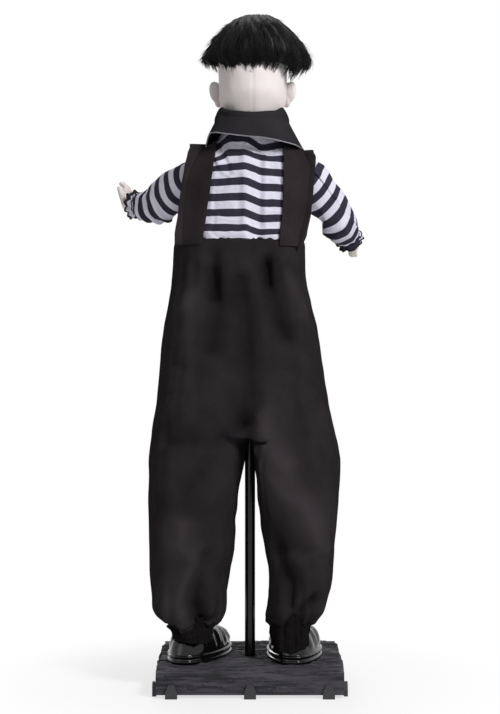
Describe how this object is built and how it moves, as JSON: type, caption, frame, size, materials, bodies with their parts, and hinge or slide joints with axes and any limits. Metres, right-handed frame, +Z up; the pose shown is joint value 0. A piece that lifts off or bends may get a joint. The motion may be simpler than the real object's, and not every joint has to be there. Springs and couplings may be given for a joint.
{
  "type": "animatronic boy figure",
  "caption": "Child-size dressed boy figure on a pole and plank base, with a motor-turned head and posable shoulders, elbows and wrists.",
  "frame": {"origin": "on the floor, at the centre of the pole's foot, on the pole's axis", "axes": "+Z up along the pole, +Y the way that the figure faces, +X to the figure's right hand"},
  "size_m": [0.4607, 0.3146, 1.217],
  "materials": {
    "base": "rough moulded dark grey plastic with plank grain",
    "clip": "moulded dark grey plastic",
    "steel": "gloss black powder-coated steel tube",
    "zinc": "zinc-plated steel",
    "shoe": "gloss black moulded vinyl",
    "trousers": "black woven polyester, creased",
    "strap": "black woven polyester band",
    "collar": "black woven polyester, pale edge stitching",
    "shirt": "jersey in pale and dark level stripes",
    "housing": "black moulded plastic",
    "nylon": "natural nylon",
    "board": "green glass-fibre board",
    "head": "off-white moulded skin, satin",
    "hair": "black synthetic hair",
    "hand": "pale moulded vinyl, satin"
  },
  "bodies": {
    "root": {"base_slab": "base", "base_clip_01": "clip", "base_clip_02": "clip", "base_clip_03": "clip", "base_clip_04": "clip", "base_clip_05": "clip", "base_clip_06": "clip", "base_clip_07": "clip", "base_clip_08": "clip", "base_clip_09": "clip", "base_clip_10": "clip", "base_clip_11": "clip", "base_clip_12": "clip", "pole_foot": "steel", "pole_lower": "steel", "pole_sleeve": "steel", "pole_upper": "steel", "hip_bracket": "steel", "leg_tube_left": "zinc", "leg_tube_right": "zinc", "shoe_left": "shoe", "shoe_right": "shoe", "trousers_seat": "trousers", "trouser_leg_left": "trousers", "trouser_leg_right": "trousers", "chassis": "zinc", "torso_shell_front": "housing", "torso_shell_back": "housing", "shirt_body": "shirt", "strap_left": "strap", "strap_right": "strap", "collar": "collar", "neck_bearing": "nylon", "neck_motor": "zinc", "battery_box": "housing", "battery_door": "housing", "speaker": "housing", "control_board": "board", "shoulder_pin_left": "zinc", "shoulder_pin_right": "zinc"},
    "head": {"neck_shaft": "zinc", "neck_gear": "nylon", "head_back_shell": "head", "face_shell": "head", "wig": "hair"},
    "pinion": {"motor_pinion": "nylon"},
    "switch": {"mode_switch": "nylon"},
    "upper_arm_left": {"upper_arm_left": "zinc", "sleeve_upper_left": "shirt", "elbow_pin_left": "zinc"},
    "forearm_left": {"forearm_left": "zinc", "sleeve_lower_left": "shirt"},
    "hand_left": {"hand_left": "hand"},
    "upper_arm_right": {"upper_arm_right": "zinc", "sleeve_upper_right": "shirt", "elbow_pin_right": "zinc"},
    "forearm_right": {"forearm_right": "zinc", "sleeve_lower_right": "shirt"},
    "hand_right": {"hand_right": "hand"}
  },
  "joints": [
    {"name": "head_turn", "type": "hinge", "parent": "root", "child": "head", "pos_m": [0.003, 0, 1], "axis": [0, 0, 1], "range_deg": [-35, 35]},
    {"name": "pinion_spin", "type": "hinge", "parent": "root", "child": "pinion", "pos_m": [0.003, 0.033, 0.97], "axis": [0, 0, 1], "range_deg": [-100, 100]},
    {"name": "mode_switch_slide", "type": "slide", "parent": "root", "child": "switch", "axis": [1, 0, 0], "range_m": [0, 0.004]},
    {"name": "shoulder_left", "type": "hinge", "parent": "root", "child": "upper_arm_left", "pos_m": [-0.112, 0, 0.918], "axis": [0, 1, 0], "range_deg": [-10, 45]},
    {"name": "elbow_left", "type": "hinge", "parent": "upper_arm_left", "child": "forearm_left", "pos_m": [-0.172, 0.055, 0.878], "axis": [0.7009, 0.7091, -0.0763], "range_deg": [-30, 35]},
    {"name": "wrist_left", "type": "hinge", "parent": "forearm_left", "child": "hand_left", "pos_m": [-0.2185, 0.1015, 0.883], "axis": [-0.7051, 0.7051, 0.0758], "range_deg": [-60, 60]},
    {"name": "shoulder_right", "type": "hinge", "parent": "root", "child": "upper_arm_right", "pos_m": [0.107, 0, 0.918], "axis": [0, -1, 0], "range_deg": [-10, 45]},
    {"name": "elbow_right", "type": "hinge", "parent": "upper_arm_right", "child": "forearm_right", "pos_m": [0.167, 0.04, 0.845], "axis": [0.7633, 0.0326, 0.6452], "range_deg": [-30, 35]},
    {"name": "wrist_right", "type": "hinge", "parent": "forearm_right", "child": "hand_right", "pos_m": [0.189, 0.089, 0.8165], "axis": [0.3618, 0.8059, -0.4687], "range_deg": [-60, 60]}
  ],
  "couplings": [
    {"joint": "pinion_spin", "follows": "head_turn", "ratio": -2.6667}
  ]
}
